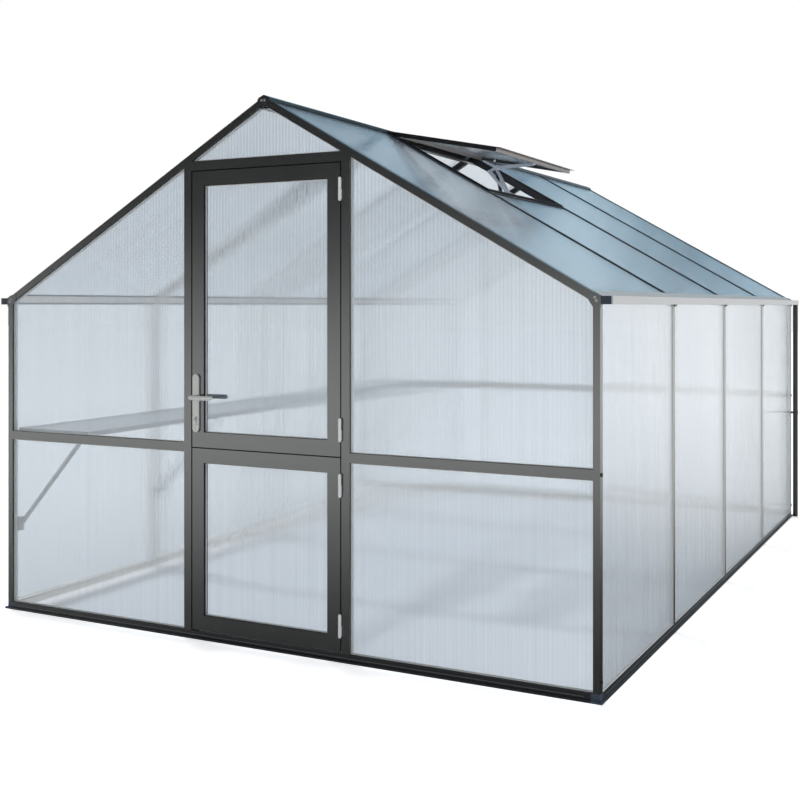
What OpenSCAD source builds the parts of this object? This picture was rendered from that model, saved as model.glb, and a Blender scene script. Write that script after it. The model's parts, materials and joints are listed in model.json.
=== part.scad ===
// Gabled garden greenhouse: extruded aluminium frame, twin-wall polycarbonate sheets,
// two-leaf divided door in the front gable, roof vent, gutters and a shelf on brackets.
// Millimetres, +Z up.  The origin is on the ground under the middle of the door,
// in the plane of the front gable.  +Y runs into the house, +X to its right.

/* [House] */
// Width over the corner posts
frame_w = 2876; // [2840:4:3600]
// Length of one bay between glazing bars
bay_l = 1050; // [700:10:1300]
// Number of bays
bays = 4; // [2:1:6]
// Height of the roof surface above the outer face of the side walls
eave_h = 1454; // [1440:2:2000]
// Slope of the roof in degrees
roof_pitch = 30; // [30:1:38]

/* [Frame] */
// Height of the base profile
base_h = 33; // [28:1:60]
// How far the foot of the base profile stands out
base_lip = 10; // [4:1:20]
// Depth of the frame profiles, from outside to inside
frame_d = 35; // [30:1:50]
// Width of a corner post seen from the gable
corner_w = 27; // [26:1:40]
// Width of a glazing bar
bar_w = 30; // [26:1:44]
// Depth of the rafters under the roof surface
rafter_d = 30; // [26:1:40]
// Height of the cross rails of the gables
rail_h = 39; // [30:1:60]
// Height of the middle of the cross rails, and of the split in the door
rail_z = 814.5; // [700:0.5:900]

/* [Sheets] */
// Thickness of the polycarbonate sheets
sheet_t = 6; // [4:1:10]
// How far the gable sheets and door panes lie behind the front face
gable_recess = 10; // [6:1:14]
// How far the side wall sheets lie behind the outer face
side_recess = 4; // [4:1:10]
// How far the roof sheets lie under the roof surface
roof_recess = 3; // [2:1:6]
// How deep a sheet sits in its groove
sheet_bite = 8; // [5:1:9]

/* [Door] */
// Clear width between the door posts
door_w = 742; // [618:2:780]
// Height of the underside of the lintel
door_h = 1996; // [1900:2:2010]
// Width of a door post
door_post_w = 38; // [30:1:50]
// Height of the lintel
lintel_h = 40; // [30:1:60]
// Thickness of the door leaves
leaf_t = 30; // [25:1:36]
// Width of the stiles of a leaf
stile_w = 60; // [50:1:80]
// Height of the top rail of a leaf
top_rail_h = 61; // [50:1:80]
// Height of the bottom rail of a leaf
bottom_rail_h = 64; // [50:1:90]
// Gap round and between the leaves
door_gap = 5; // [5:0.5:8]
// Depth from the face of a leaf to its pane
pane_recess = 15; // [10:1:18]
// Length of a hinge
hinge_l = 95; // [70:5:120]
// Diameter of a hinge barrel
hinge_d = 13; // [12:1:16]
// Height of the lever above the ground
lever_z = 1030; // [980:5:1080]

/* [Roof vent] */
// Bay that holds the vent, counted from the front
vent_bay = 2; // [1:1:4]
// Distance of the vent sill from the middle of the house, measured level
vent_sill_x = 562; // [400:2:800]
// Angle of the open sash below level
vent_open = 11.2; // [0:0.2:30]

/* [Gutters and shelf] */
// Width of a gutter
gutter_w = 47; // [36:1:70]
// Height of a gutter
gutter_h = 30; // [24:1:50]
// Diameter of a downpipe
pipe_d = 32; // [24:1:38]
// Depth of the shelf from the wall
shelf_w = 425; // [300:5:600]
// Height of the top of the shelf
shelf_z = 846; // [700:2:1000]

/* [Hidden] */
$fn = 32;

frame_colour = "#4b4d4d";
sheet_colour = [0.80, 0.85, 0.89, 0.6];
alu_colour = "#c9c9c7";
plastic_colour = "#2c3648";
black_colour = "#26282b";
hinge_colour = "#e6e6e4";

// ---- overall places
half_w = frame_w / 2;
length = bays * bay_l;
ridge_z = eave_h + half_w * tan(roof_pitch);
wall_t = 3;                       // wall of the hollow profiles
cut = 1;                          // how far a cutting shape runs past a face

// ---- grooves for the sheets
sheet_gap = 0.3;                  // play on each face of a sheet
sheet_play = 1;                   // play at the edge of a sheet
seat_gap = 0.02;                  // room between a roof sheet and the cap it lies under
slot_t = sheet_t + 2 * sheet_gap;
groove_d = sheet_bite + sheet_play;
gable_slot = gable_recess - sheet_gap;
side_slot = side_recess - sheet_gap;

// ---- base
foot_h = 8;                       // thickness of the outer foot
foot_fall = 3;                    // fall on top of the foot
inner_lip_h = 6;                  // upstand behind the sheets
inner_lip_t = 3;
inner_fall = 6;                   // fall of the inner top face
corner_block = frame_d;           // length of a corner connector along each wall
groove_floor = base_h - groove_d; // where the lowest sheets stand

// ---- rails, door posts and back posts
rail_z0 = rail_z - rail_h / 2;
rail_z1 = rail_z + rail_h / 2;
door_x = door_w / 2;
door_post_x = door_x + door_post_w;
lintel_z1 = door_h + lintel_h;
stop_w = 7;                       // how far the stop reaches behind a leaf
stop_t = 3;
stop_gap = 5;                     // room between a closed leaf and its stop
stop_y = leaf_t + stop_gap;
stop_break = 12;                  // the stop ends this far from the handle plates
stop_foot = 10;                   // how far the stop laps over the back of the lintel
corner_d = 30;                    // depth of a corner post along the side wall
post_inner_x = half_w - corner_w;

// ---- eave and ridge
eave_w = frame_d + 3;             // width of the eave beam, past the end of the side bars
eave_x = half_w - eave_w;         // inner face, where the roof bars end
eave_z0 = eave_h - 17;            // underside of the eave beam
ridge_core = 18;                  // half width of the ridge beam under its cap
ridge_hood = 27;                  // half width of the ridge cap
hood_flank = 11;                  // height of the cap's flank over the roof surface
hood_peak = 7;                    // how far the cap stands over the roof's peak

// ---- leaves
latch_gap = door_gap + 1;         // gap at the edge that swings past the latch post
leaf_x0 = -(door_x - latch_gap);
leaf_x1 = door_x - door_gap;
upper_z0 = rail_z + door_gap / 2;
upper_z1 = door_h - door_gap;
lower_z0 = base_h + door_gap;
lower_z1 = rail_z - door_gap / 2;

// ---- hinges: a lower half with a pin on the frame, an upper half on the leaf
hinge_x = door_x - door_gap / 2;
hinge_y = -8;                     // pin line, in front of the faces it joins
hinge_r = hinge_d / 2;
pin_r = 4;
pin_play = 0.05;
hinge_half = hinge_l / 2;
hinge_split = 0.5;                // half of the space between the two halves
hinge_plate_t = 2.5;              // plates let in flush on both sides of the door gap
hinge_reach = leaf_t - 6;         // how far the plates run into the gap
hinge_room = 0.5;                 // play round a plate in its pocket
hinge_end = 7;                    // solid end of a barrel beyond the pin
UPPER_HINGES = [upper_z0 + 60, upper_z1 - 153];
LOWER_HINGES = [lower_z0 + 59, lower_z1 - 156];

// ---- handle
handle_x = leaf_x0 + 23;          // spindle, from the middle of the door
plate_w = 33;
plate_h = 247;
plate_t = 8;
plate_z0 = lever_z - 149;
neck_r = 9;
neck_play = 0.05;
neck_gap = 0.5;                   // space between a neck and the face of the leaf
grip_r = 10;
grip_y = 42;                      // distance of the grip from the face of the leaf
grip_l = 100;                     // from the spindle to the end of the grip
spindle_w = 8;
spindle_room = 6;                 // radius of the hole for the spindle
spindle_bite = 20;                // how far the spindle enters the inside lever
key_z = lever_z - 92;
key_r = 8.5;
key_w = 10;
key_drop = 24.5;
key_out = 10;                     // how far the lock cylinder stands out of the leaf

// ---- vent
vent_k = min(vent_bay, bays) - 1;
vent_y0 = vent_k * bay_l;
vent_y1 = vent_y0 + bay_l;
vent_mid = (vent_y0 + vent_y1) / 2;
sill_half = 14;                   // half the level width of the sill
sill_d = 28;
sash_z = ridge_z - 5;             // top of the sash where it meets the ridge cap
sash_plate = 3;
sash_d = 22;
sash_side = 22;                   // width of the side rails
sash_foot = 32;                   // width of the lower rail
sash_u0 = 36;                     // from the ridge cap to the upper rail
sash_u1 = (vent_sill_x + 38 - ridge_hood) / cos(vent_open);
sash_lip = 24;                    // how far the top plate runs past the lower rail
sash_edge = 2;                    // the sash stays inside the middle lines of its bars

// ---- vent opener, from the sill up to the lower rail of the sash
arm_t = 4;
arm_wide = 14;
arm_apart = 9.5;                  // half the space between the two plates of a pair
opener_x = vent_sill_x - 184;
opener_z = sash_z - (opener_x - ridge_hood) * tan(vent_open) - sash_d - 54;
knee_x = vent_sill_x - 114;
arm_thin = 8;                     // width of the thin arms
elbow = [-36, -18];               // upper end of the wide lower arm, from the pivot
tail = [-64, 36];                 // free end of the thin upper arm, from the pivot
shoe_t = 4;
shoe_h = 24;
tube_r = 9;
tube_top = 16;                    // how far the tube stands above the middle of its block
tube_l = 200;                     // from the middle of the block to the lower end
tube_tilt = 12;
rod_r = 4;
rod_l = 24;
head_w = 24;                      // width of the block round the tube

// ---- gutters and downpipes
gutter_z0 = eave_h - 29;
gutter_t = 2;
gutter_cap = 8;
gutter_x1 = half_w + gutter_w;
bead = 4;
rim_t = 5.5;                      // solid end of the outer wall, beside a cap
pipe_t = 2;
pipe_r = pipe_d / 2;
pipe_z0 = 4;
pipe_side = 1;                    // from the pipe to the outer face of the gutter
pipe_x = gutter_x1 - pipe_side - pipe_r;
pipe_y = length - gutter_cap - 3 - pipe_r;
pipe_clip_z = 694;
pipe_clip_h = 14;
collar_t = 3;
clip_h = 9;
clip_out = 8;                     // how far a gutter clip stands out of its bar

// ---- shelf
tray_t = 3;
tray_lip = 22;
tray_gap = 3;
arm_h = 20;
arm_w = 20;
shelf_end = frame_d;              // trays and end arms meet the back of the cross rails
foot_reach = 13;                  // how far an end foot laps the back of a corner post
arm_z0 = shelf_z - tray_t - arm_h;
shelf_wall_x = half_w - frame_d;
shelf_front_x = shelf_wall_x - shelf_w;
strut_w = 20;
strut_t = 17;
strut_end = 22;                   // from the front of the shelf to the strut
foot_z0 = 363;
foot_plate_h = 62;
foot_plate_t = 12;
strut_z0 = foot_z0 + 30;

// Height of a plane that lies depth under the roof surface, at x from the middle
function roof_at(x, depth = 0) = ridge_z - abs(x) * tan(roof_pitch) - depth / cos(roof_pitch);

// Clear run of bay k between the members at its two ends
function bay_start(k) = k == 0 ? frame_d : k * bay_l + bar_w / 2;
function bay_end(k) = k == bays - 1 ? length - frame_d : (k + 1) * bay_l - bar_w / 2;

// Point of the sash, u down its top face from the ridge cap and v under that face
function sash_at(u, v) = [
    ridge_hood + u * cos(vent_open) - v * sin(vent_open),
    sash_z - u * sin(vent_open) - v * cos(vent_open)
];

// ---- ways to place an outline
// Outline in Y and Z, extruded along X
module along_x(x0, x1) {
    translate([x0, 0, 0])
        rotate([90, 0, 90])
            linear_extrude(x1 - x0) children();
}

// Outline in X and Z, extruded along Y
module along_y(y0, y1) {
    translate([0, y1, 0])
        rotate([90, 0, 0])
            linear_extrude(y1 - y0) children();
}

// Outline in X and Y, extruded upwards
module along_z(z0, z1) {
    translate([0, 0, z0]) linear_extrude(z1 - z0) children();
}

module both_sides() {
    for (s = [0, 1]) mirror([s, 0, 0]) children();
}

module back_end() {
    translate([0, length, 0]) mirror([0, 1, 0]) children();
}

module both_ends() {
    children();
    back_end() children();
}

// Turns a section drawn as (across, depth) into a post of the right side wall
module on_side_wall(y) {
    translate([half_w, y, 0]) rotate([0, 0, 90]) children();
}

// Rectangle given by two corners
module block(x0, y0, x1, y1) {
    translate([x0, y0]) square([x1 - x0, y1 - y0]);
}

// Strip of the roof between two depths under its surface, from x0 to x1
module roof_strip(x0, x1, d0, d1) {
    polygon([
        [x0, roof_at(x0, d1)], [x1, roof_at(x1, d1)],
        [x1, roof_at(x1, d0)], [x0, roof_at(x0, d0)]
    ]);
}

// Everything of the right half under a plane of the roof, between x0 and x1 and above z0
module under_roof(x0, x1, z0, depth) {
    polygon([[x0, z0], [x1, z0], [x1, roof_at(x1, depth)], [x0, roof_at(x0, depth)]]);
}

// Strip of the sash between two depths, from u0 to u1
module sash_strip(u0, u1, v0, v1) {
    polygon([sash_at(u0, v0), sash_at(u1, v0), sash_at(u1, v1), sash_at(u0, v1)]);
}

// Flat link with round ends between two points
module link(p, q, w) {
    translate(p) circle(w / 2);
    translate(q) circle(w / 2);
    translate(p)
        rotate(atan2(q[1] - p[1], q[0] - p[0]))
            translate([0, -w / 2]) square([norm(q - p), w]);
}

// ---- profiles
// Glazing bar: outer face at y = 0, a groove on each side, a hollow box behind them
module bar_section(width, recess) {
    slot_y = recess - sheet_gap;
    box_y = slot_y + slot_t + wall_t;
    difference() {
        block(-width / 2, 0, width / 2, frame_d);
        for (s = [-1, 1])
            translate([s * width / 2, 0]) block(-groove_d, slot_y, groove_d, slot_y + slot_t);
        block(-width / 2 + wall_t, box_y, width / 2 - wall_t, frame_d - wall_t);
    }
}

// Corner post: outer corner at the origin, one groove for each wall
module corner_section() {
    difference() {
        block(-corner_w, 0, 0, corner_d);
        block(-corner_w - cut, gable_slot, -corner_w + groove_d, gable_slot + slot_t);
        block(-side_slot - slot_t, corner_d - groove_d, -side_slot, corner_d + cut);
        block(-corner_w + groove_d + wall_t, wall_t, -wall_t, corner_d - groove_d - wall_t);
    }
}

// Base profile, face of the wall at y = 0: foot, groove for the sheets, hollow box
module base_section(slot_y) {
    slot_end = slot_y + slot_t;
    difference() {
        polygon([
            [-base_lip, 0], [-base_lip, foot_h], [0, foot_h + foot_fall], [0, base_h],
            [slot_end + inner_lip_t, base_h], [frame_d, base_h - inner_fall], [frame_d, 0]
        ]);
        block(slot_y, groove_floor, slot_end, base_h + cut);
        block(wall_t, wall_t, frame_d - wall_t, groove_floor - wall_t);
    }
}

// Upstand of the base profile behind the sheets
module base_upstand(slot_y) {
    y0 = slot_y + slot_t;
    block(y0, base_h - inner_lip_t, y0 + inner_lip_t, base_h + inner_lip_h);
}

// Cross rail: grooves in its top and underside, hollow box behind them
module rail_section() {
    box_y = gable_slot + slot_t + wall_t;
    difference() {
        block(0, rail_z0, frame_d, rail_z1);
        block(gable_slot, rail_z0 - cut, gable_slot + slot_t, rail_z0 + groove_d);
        block(gable_slot, rail_z1 - groove_d, gable_slot + slot_t, rail_z1 + cut);
        block(box_y, rail_z0 + wall_t, frame_d - wall_t, rail_z1 - wall_t);
    }
}

// Eave beam of the right side: sloping top, grooves for the wall and roof sheets
module eave_section() {
    slot_x = half_w - side_slot - slot_t;
    difference() {
        under_roof(eave_x, half_w, eave_z0, 0);
        block(slot_x, eave_z0 - cut, slot_x + slot_t, eave_z0 + groove_d);
        roof_groove(eave_x - cut, eave_x + groove_d);
        under_roof(eave_x + groove_d + wall_t, slot_x - wall_t, eave_z0 + wall_t,
                   roof_recess + sheet_t + wall_t);
    }
}

// Room for a roof sheet
module roof_groove(x0, x1) {
    roof_strip(x0, x1, roof_recess - sheet_gap, roof_recess + sheet_t + sheet_gap);
}

// Ridge beam: a core between the bars and a cap over the sheets
module ridge_section() {
    foot = roof_at(ridge_core, frame_d);
    difference() {
        ridge_outline();
        block(wall_t - ridge_core, foot + wall_t,
              ridge_core - wall_t, roof_at(ridge_core, roof_recess));
    }
}

module ridge_outline() {
    polygon([
        [-ridge_core, roof_at(ridge_core, frame_d)],
        [ridge_core, roof_at(ridge_core, frame_d)],
        [ridge_core, roof_at(ridge_core, roof_recess)],
        [ridge_hood, roof_at(ridge_hood, roof_recess)],
        [ridge_hood, roof_at(ridge_hood) + hood_flank],
        [0, ridge_z + hood_peak],
        [-ridge_hood, roof_at(ridge_hood) + hood_flank],
        [-ridge_hood, roof_at(ridge_hood, roof_recess)],
        [-ridge_core, roof_at(ridge_core, roof_recess)]
    ]);
}

// Sloping member of the right slope, plumb at both ends and let in under the ridge cap
module slope_outline(x1, depth) {
    polygon([
        [ridge_core, roof_at(ridge_core, depth)],
        [x1, roof_at(x1, depth)], [x1, roof_at(x1)],
        [ridge_hood, roof_at(ridge_hood)],
        [ridge_hood, roof_at(ridge_hood, roof_recess)],
        [ridge_core, roof_at(ridge_core, roof_recess)]
    ]);
}

// Gutter of the right side with a bead along its outer rim
module gutter_section() {
    z1 = gutter_z0 + gutter_h;
    block(half_w, gutter_z0, gutter_x1, gutter_z0 + gutter_t);
    block(half_w, gutter_z0, half_w + gutter_t, z1 - gutter_t);
    block(gutter_x1 - gutter_t, gutter_z0, gutter_x1, z1);
    block(gutter_x1 - bead, z1 - bead / 2, gutter_x1, z1);
}

// ---- base
module base_front() {
    x1 = half_w - corner_block;
    color(frame_colour) {
        along_x(-x1, x1) base_section(gable_slot);
        both_sides() along_x(door_post_x, x1) base_upstand(gable_slot);
        along_x(-door_x, door_x)
            block(gable_slot, groove_floor, gable_slot + slot_t, base_h);
    }
}

module base_back() {
    x1 = half_w - corner_block;
    color(frame_colour) back_end() {
        along_x(-x1, x1) base_section(gable_slot);
        both_sides() along_x(door_post_x, x1) base_upstand(gable_slot);
        along_x(-door_x, door_x) base_upstand(gable_slot);
    }
}

// Base of the right side wall, with its upstand between the bars
module base_side() {
    y0 = corner_block;
    y1 = length - corner_block;
    translate([half_w, 0, 0]) {
        along_y(y0, y1) mirror([1, 0]) base_section(side_slot);
        for (k = [0:bays - 1])
            along_y(bay_start(k), bay_end(k)) mirror([1, 0]) base_upstand(side_slot);
    }
}

module base_left() {
    color(frame_colour) mirror([1, 0, 0]) base_side();
}

module base_right() {
    color(frame_colour) base_side();
}

// Plastic corner connectors that the base profiles and the corner posts meet on
module base_corners() {
    x0 = half_w - corner_block;
    color(plastic_colour) both_ends() both_sides() difference() {
        union() {
            along_z(0, foot_h) block(x0, -base_lip, half_w + base_lip, corner_block);
            along_z(0, base_h) block(x0, 0, half_w, corner_block);
        }
        along_z(groove_floor, base_h + cut) {
            block(x0 - cut, gable_slot, post_inner_x + groove_d, gable_slot + slot_t);
            block(half_w - side_slot - slot_t, corner_d - groove_d,
                  half_w - side_slot, corner_block + cut);
        }
    }
}

// ---- posts, bars and beams
module corner_posts() {
    color(frame_colour) both_ends() both_sides() intersection() {
        translate([half_w, 0, 0]) along_z(base_h, ridge_z) corner_section();
        along_y(-cut, corner_d + cut)
            under_roof(post_inner_x - cut, half_w + cut, 0, rafter_d);
    }
}

module side_bars() {
    color(frame_colour) both_sides()
        for (k = [1:1:bays - 1])
            on_side_wall(k * bay_l) along_z(base_h, eave_z0) bar_section(bar_w, side_recess);
}

module eave_beams() {
    color(alu_colour) both_sides() along_y(frame_d, length - frame_d) eave_section();
}

module gable_rafters() {
    both_sides() difference() {
        along_y(0, frame_d) slope_outline(half_w, rafter_d);
        along_y(gable_slot, gable_slot + slot_t)
            roof_strip(ridge_core - cut, post_inner_x + groove_d,
                       rafter_d - groove_d, rafter_d + cut);
        along_y(frame_d - groove_d, frame_d + cut)
            roof_groove(ridge_core - cut, eave_x + groove_d);
        along_y(wall_t, frame_d - groove_d - wall_t)
            roof_strip(ridge_hood + wall_t, half_w - wall_t,
                       wall_t, rafter_d - groove_d - wall_t);
    }
}

module front_rafters() {
    color(frame_colour) gable_rafters();
}

module back_rafters() {
    color(frame_colour) back_end() gable_rafters();
}

module ridge_beam() {
    color(frame_colour) along_y(0, length) ridge_section();
}

module roof_bars() {
    color(black_colour) both_sides()
        for (k = [1:1:bays - 1])
            translate([0, k * bay_l, 0]) difference() {
                along_y(-bar_w / 2, bar_w / 2) slope_outline(eave_x, frame_d);
                along_y(bar_w / 2 - groove_d, bar_w / 2 + cut)
                    roof_groove(ridge_core - cut, eave_x + cut);
                along_y(-bar_w / 2 - cut, groove_d - bar_w / 2)
                    roof_groove(ridge_core - cut, eave_x + cut);
                along_y(wall_t - bar_w / 2, bar_w / 2 - wall_t)
                    roof_strip(ridge_core - cut, eave_x + cut,
                               roof_recess + slot_t + wall_t, frame_d - wall_t);
            }
}

// ---- gables
// Post of the right side of the doorway, without its stop
module door_post() {
    box_y = gable_slot + slot_t + wall_t;
    intersection() {
        difference() {
            along_z(base_h, ridge_z) difference() {
                block(door_x, 0, door_post_x, frame_d);
                block(door_post_x - groove_d, gable_slot,
                      door_post_x + cut, gable_slot + slot_t);
                block(door_x + hinge_plate_t + wall_t, box_y,
                      door_post_x - wall_t, frame_d - wall_t);
            }
            along_z(lintel_z1 - groove_d, ridge_z)
                block(door_x - cut, gable_slot, door_x + groove_d, gable_slot + slot_t);
        }
        along_y(-cut, frame_d + cut)
            under_roof(door_x - cut, door_post_x + cut, 0, rafter_d);
    }
}

// Stop behind the leaves, on the back of the right post
module door_stop(z0, z1) {
    along_z(z0, z1) {
        block(leaf_x1 - stop_w, stop_y, door_x + wall_t, stop_y + stop_t);
        block(door_x, min(stop_y, frame_d), door_post_x, max(stop_y + stop_t, frame_d));
    }
}

module door_posts() {
    latch_z0 = plate_z0 - stop_break;
    latch_z1 = plate_z0 + plate_h + stop_break;
    color(frame_colour) {
        difference() {
            door_post();
            post_pockets();
        }
        mirror([1, 0, 0]) door_post();
        door_stop(base_h, door_h);
        mirror([1, 0, 0]) door_stop(base_h, latch_z0);
        mirror([1, 0, 0]) door_stop(latch_z1, door_h);
    }
}

module door_lintel() {
    color(frame_colour) {
        intersection() {
            along_x(-door_x, door_x) difference() {
                block(0, door_h, frame_d, lintel_z1);
                block(gable_slot, lintel_z1 - groove_d, gable_slot + slot_t, lintel_z1 + cut);
                block(gable_slot + slot_t + wall_t, door_h + wall_t,
                      frame_d - wall_t, lintel_z1 - wall_t - cut);
            }
            along_y(-cut, frame_d + cut) gable_area(door_x + cut, 0, rafter_d);
        }
        along_x(stop_w - leaf_x1, leaf_x1 - stop_w) {
            block(stop_y, upper_z1 - stop_w, stop_y + stop_t, door_h + wall_t);
            block(min(stop_y, frame_d), door_h,
                  max(stop_y + stop_t, frame_d), door_h + stop_foot);
        }
    }
}

// The gable between -x1 and x1, above z0 and under a plane of the roof
module gable_area(x1, z0, depth) {
    polygon([
        [-x1, z0], [x1, z0], [x1, roof_at(x1, depth)],
        [0, roof_at(0, depth)], [-x1, roof_at(x1, depth)]
    ]);
}

module front_rails() {
    color(frame_colour) both_sides() along_x(door_post_x, post_inner_x) rail_section();
}

module back_posts() {
    color(frame_colour) back_end() both_sides() intersection() {
        translate([door_x + door_post_w / 2, 0, 0])
            along_z(base_h, ridge_z) bar_section(door_post_w, gable_recess);
        along_y(-cut, frame_d + cut)
            under_roof(door_x - cut, door_post_x + cut, 0, rafter_d);
    }
}

module back_rails() {
    color(frame_colour) back_end() {
        both_sides() along_x(door_post_x, post_inner_x) rail_section();
        along_x(-door_x, door_x) rail_section();
    }
}

// Plates screwed over the joints of the gable frame
module gusset_plates() {
    plate = 2;
    color(frame_colour) both_ends() along_y(-plate, 0) {
        polygon([
            [-20, ridge_z - 42], [20, ridge_z - 42], [30, ridge_z - 28],
            [30, ridge_z - 12], [0, ridge_z + 6], [-30, ridge_z - 12], [-30, ridge_z - 28]
        ]);
        for (s = [0, 1]) mirror([s, 0]) polygon([
            [half_w - 27, eave_h - 38], [half_w + 3, eave_h - 39],
            [half_w + 3, eave_h + 2], [half_w - 20, roof_at(half_w - 20) + 3],
            [half_w - 50, roof_at(half_w - 50, 8)], [half_w - 50, eave_h - 3]
        ]);
    }
}

// ---- sheets of the gables
module gable_sheet_layer() {
    along_y(gable_recess, gable_recess + sheet_t) children();
}

// Right half of a gable, beside the middle posts
module side_panels() {
    x0 = door_post_x - sheet_bite;
    x1 = post_inner_x + sheet_bite;
    block(x0, groove_floor, x1, rail_z0 + sheet_bite);
    under_roof(x0, x1, rail_z1 - groove_d, rafter_d - sheet_bite);
}

// Panel up to the ridge between the middle posts, clear of the core of the ridge beam
module ridge_panel(z0) {
    difference() {
        gable_area(door_x + sheet_bite, z0, rafter_d - sheet_bite);
        block(-ridge_core - sheet_play, roof_at(ridge_core, frame_d) - sheet_play,
              ridge_core + sheet_play, ridge_z);
    }
}

module front_sheets() {
    color(sheet_colour) gable_sheet_layer() {
        for (s = [0, 1]) mirror([s, 0]) side_panels();
        ridge_panel(lintel_z1 - groove_d);
    }
}

module back_sheets() {
    color(sheet_colour) back_end() gable_sheet_layer() {
        for (s = [0, 1]) mirror([s, 0]) side_panels();
        block(-door_x - sheet_bite, groove_floor, door_x + sheet_bite, rail_z0 + sheet_bite);
        ridge_panel(rail_z1 - groove_d);
    }
}

// ---- sheets of the side walls and the roof
module wall_sheets() {
    notch_z = roof_at(half_w, rafter_d) - sheet_play;
    end_y = corner_d - sheet_bite;
    color(sheet_colour) both_sides() for (k = [0:bays - 1]) {
        y0 = k == 0 ? end_y : k * bay_l + bar_w / 2 - sheet_bite;
        y1 = k == bays - 1 ? length - end_y : (k + 1) * bay_l - bar_w / 2 + sheet_bite;
        x1 = half_w - side_recess;
        along_x(x1 - sheet_t, x1) difference() {
            block(y0, groove_floor, y1, eave_z0 + sheet_bite);
            block(-cut, notch_z, frame_d + sheet_play, ridge_z);
            block(length - frame_d - sheet_play, notch_z, length + cut, ridge_z);
        }
    }
}

module roof_sheet(k, x0) {
    along_y(bay_start(k) - sheet_bite, bay_end(k) + sheet_bite)
        roof_strip(x0, eave_x + groove_d, roof_recess + seat_gap,
                   roof_recess + seat_gap + sheet_t);
}

module roof_sheets() {
    top_x = ridge_core + sheet_play;
    color(sheet_colour) {
        for (k = [0:bays - 1]) mirror([1, 0, 0]) roof_sheet(k, top_x);
        for (k = [0:bays - 1])
            roof_sheet(k, k == vent_k ? vent_sill_x + sill_half - sheet_bite : top_x);
    }
}

// ---- roof vent
// Cross member between two roof bars, over the upper edge of the sheet below it
module vent_sill() {
    x1 = vent_sill_x + sill_half;
    color(black_colour) along_y(bay_start(vent_k), bay_end(vent_k)) difference() {
        roof_strip(vent_sill_x - sill_half, x1, 0, sill_d);
        roof_groove(x1 - groove_d, x1 + cut);
    }
}

// Frame of the open vent: a flat cover hooked on the ridge cap, rails under it
module vent_sash() {
    y0 = vent_y0 + sash_edge;
    y1 = vent_y1 - sash_edge;
    u0 = sash_u0 + sash_side;
    u1 = sash_u1 - sash_foot;
    hook = sash_plate * tan(vent_open);
    slot = sash_plate - sheet_gap;
    color(black_colour) difference() {
        along_y(y0, y1) {
            polygon([
                sash_at(0, 0), sash_at(sash_u1 + sash_lip, 0),
                sash_at(sash_u1 + sash_lip, sash_plate), sash_at(hook, sash_plate)
            ]);
            sash_strip(sash_u0, sash_u1, 0, sash_d);
        }
        along_y(y0 + sash_side, y1 - sash_side) sash_strip(u0, u1, -cut, sash_d + cut);
        along_y(y0 + sash_side - groove_d, y1 - sash_side + groove_d)
            sash_strip(u0 - groove_d, u1 + groove_d, slot, slot + slot_t);
    }
}

module vent_pane() {
    u0 = sash_u0 + sash_side - sheet_bite;
    u1 = sash_u1 - sash_foot + groove_d;
    inset = sash_edge + sash_side - sheet_bite;
    color(sheet_colour) along_y(vent_y0 + inset, vent_y1 - inset)
        sash_strip(u0, u1, sash_plate, sash_plate + sheet_t);
}

// Pair of plates beside the middle of the vent
module arm_pair() {
    for (s = [0, 1])
        translate([0, vent_mid, 0]) mirror([0, s, 0]) along_y(arm_apart, arm_apart + arm_t)
            children();
}

module vent_opener() {
    sash_shoe = sash_at(sash_u1 - sash_foot / 2, sash_d + arm_wide / 2);
    pivot = [opener_x, opener_z];
    knee = [knee_x, roof_at(knee_x) - 26];
    sill_x = vent_sill_x - sill_half;
    sill_shoe = [sill_x - shoe_t - arm_wide / 2, roof_at(sill_x) - shoe_h / 2 - shoe_t];
    wide = arm_apart + arm_t;
    color(alu_colour) {
        arm_pair() {
            link(pivot, sash_shoe, arm_wide);
            link(pivot, pivot + tail, arm_thin);
            link(pivot, pivot + elbow, arm_thin);
            link(pivot, knee, arm_thin);
            link(pivot + elbow, knee, arm_wide);
            link(knee, sill_shoe, arm_wide);
        }
        along_y(vent_mid - wide, vent_mid + wide) {
            block(sill_x - shoe_t, sill_shoe[1] - shoe_h / 2,
                  sill_x, sill_shoe[1] + shoe_h / 2);
            block(sill_shoe[0], sill_shoe[1] - shoe_t, sill_x, sill_shoe[1] + shoe_t);
            sash_strip(sash_u1 - sash_foot + shoe_t, sash_u1 - shoe_t,
                       sash_d, sash_d + arm_wide / 2);
        }
        difference() {
            along_y(vent_mid - wide, vent_mid + wide)
                translate(pivot) square(head_w, center = true);
            on_tube() translate([0, 0, -head_w]) cylinder(h = 2 * head_w, r = tube_r);
        }
    }
}

// Axis of the piston tube, pointing down into the house
module on_tube() {
    translate([opener_x, vent_mid, opener_z]) rotate([0, 180 - tube_tilt, 0]) children();
}

// Piston tube hanging from the opener, with its rod above
module vent_cylinder() {
    color(black_colour) on_tube() {
        translate([0, 0, -tube_top]) cylinder(h = tube_l + tube_top, r = tube_r);
        translate([0, 0, -tube_top - rod_l]) cylinder(h = rod_l, r = rod_r);
    }
}

// ---- rainwater
module gutters() {
    color(alu_colour) both_sides() difference() {
        union() {
            along_y(gutter_cap, length - gutter_cap) gutter_section();
            both_ends() along_y(0, gutter_cap)
                block(gutter_x1 - rim_t, gutter_z0, gutter_x1, gutter_z0 + gutter_h);
        }
        translate([pipe_x, pipe_y, gutter_z0 - cut])
            cylinder(h = gutter_t + 2 * cut, r = pipe_r - pipe_t);
    }
}

module gutter_caps() {
    color(plastic_colour) both_ends() both_sides() along_y(0, gutter_cap)
        block(half_w, gutter_z0, gutter_x1 - rim_t, gutter_z0 + gutter_h);
}

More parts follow.
